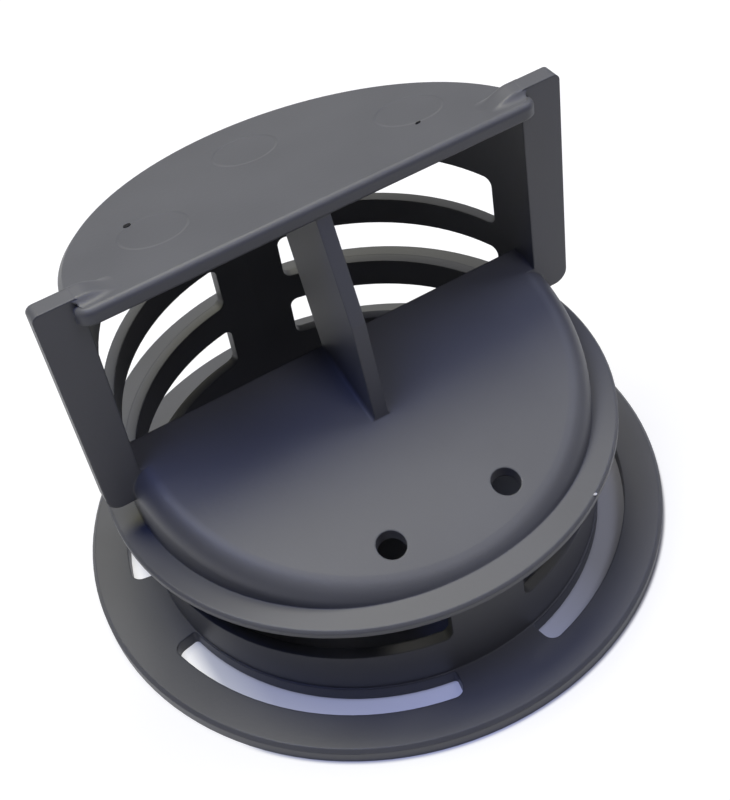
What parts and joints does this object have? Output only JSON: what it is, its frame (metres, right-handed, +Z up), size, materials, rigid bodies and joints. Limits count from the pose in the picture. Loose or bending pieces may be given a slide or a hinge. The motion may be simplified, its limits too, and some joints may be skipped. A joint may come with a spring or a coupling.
{
  "type": "dishwasher filter",
  "caption": "Moulded dishwasher sump filter holder: slotted seating flange, windowed tube with a locating ring, sloping deck and a hooded grip with side fins.",
  "frame": {"origin": "on the tube axis, in the plane of the flange's underside, on which the part stands", "axes": "+Z up along the tube axis; the open grip mouth and the low deck face -Y; the two side fins lie along X"},
  "size_m": [0.0844, 0.0844, 0.0597],
  "materials": {
    "filter_body": "matt"
  },
  "bodies": {
    "root": {"filter_body": "filter_body"}
  },
  "joints": []
}
